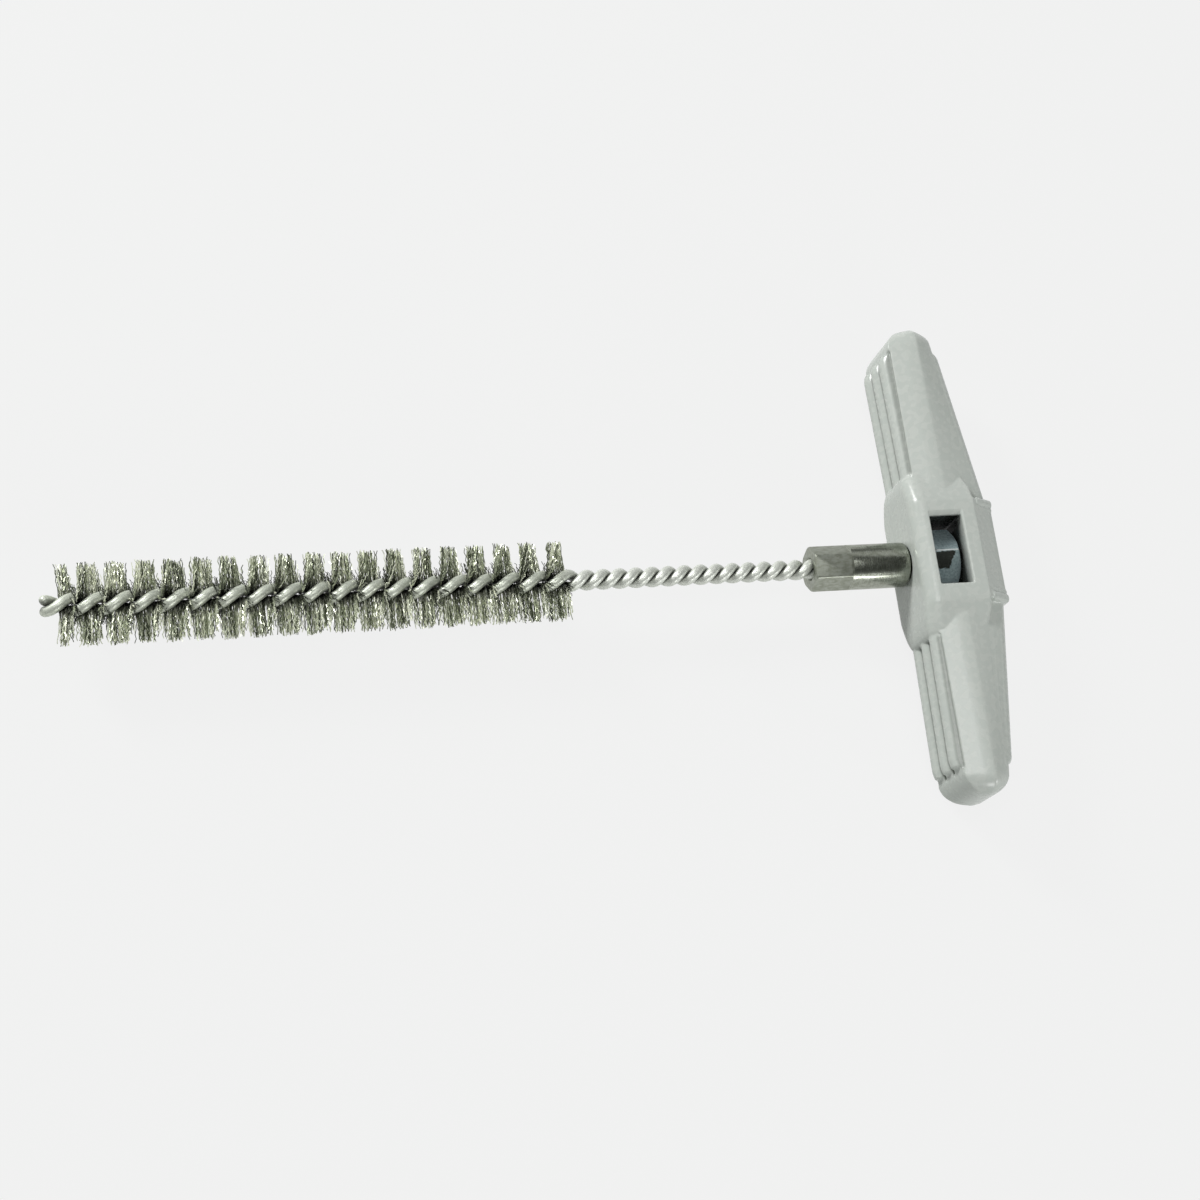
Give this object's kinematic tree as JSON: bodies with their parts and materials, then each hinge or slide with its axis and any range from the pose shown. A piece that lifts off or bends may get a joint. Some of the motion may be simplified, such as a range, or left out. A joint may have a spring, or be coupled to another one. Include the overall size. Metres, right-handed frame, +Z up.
{
  "type": "borehole cleaning brush",
  "caption": "T-handled brush for cleaning drilled holes: twisted steel wire core with steel bristles, screwed by its ferrule into a nut held in the handle.",
  "frame": {"origin": "middle of the footprint, on the surface that the brush lies on; the brush's axis runs 10 mm above it", "axes": "+X from the brush's tip to the back of the handle, along the brush's axis; +Y along the grip; +Z up, away from the surface, along the window that shows the nut"},
  "size_m": [0.2076, 0.109, 0.02],
  "materials": {
    "light_grey_plastic": "satin moulded plastic, light grey with a slight green cast",
    "zinc_plated_nut": "bluish zinc plating on forged steel",
    "plated_turned_steel": "turned and plated, fine grain round the axis",
    "galvanised_wire": "bright galvanised drawn wire",
    "bristle_steel": "crimped steel filament, olive grey"
  },
  "bodies": {
    "handle": {"handle": "light_grey_plastic"},
    "nut": {"nut": "zinc_plated_nut"},
    "brush": {"ferrule": "plated_turned_steel", "core_wire_a": "galvanised_wire", "core_wire_b": "galvanised_wire", "bristle_tuft_01": "bristle_steel", "bristle_tuft_02": "bristle_steel", "bristle_tuft_03": "bristle_steel", "bristle_tuft_04": "bristle_steel", "bristle_tuft_05": "bristle_steel", "bristle_tuft_06": "bristle_steel", "bristle_tuft_07": "bristle_steel", "bristle_tuft_08": "bristle_steel", "bristle_tuft_09": "bristle_steel", "bristle_tuft_10": "bristle_steel", "bristle_tuft_11": "bristle_steel", "bristle_tuft_12": "bristle_steel", "bristle_tuft_13": "bristle_steel", "bristle_tuft_14": "bristle_steel", "bristle_tuft_15": "bristle_steel", "bristle_tuft_16": "bristle_steel", "bristle_tuft_17": "bristle_steel", "bristle_tuft_18": "bristle_steel", "bristle_tuft_19": "bristle_steel"}
  },
  "joints": [
    {"name": "brush_draw", "type": "slide", "parent": "handle", "child": "brush", "axis": [-1, 0, 0], "range_m": [0, 0.0055]},
    {"name": "nut_turn", "type": "hinge", "parent": "handle", "child": "nut", "pos_m": [0.09077, 0, 0.01], "axis": [1, 0, 0], "range_deg": [0, 1584]}
  ],
  "couplings": [
    {"joint": "nut_turn", "follows": "brush_draw", "rad_per_m": 5026.5}
  ]
}
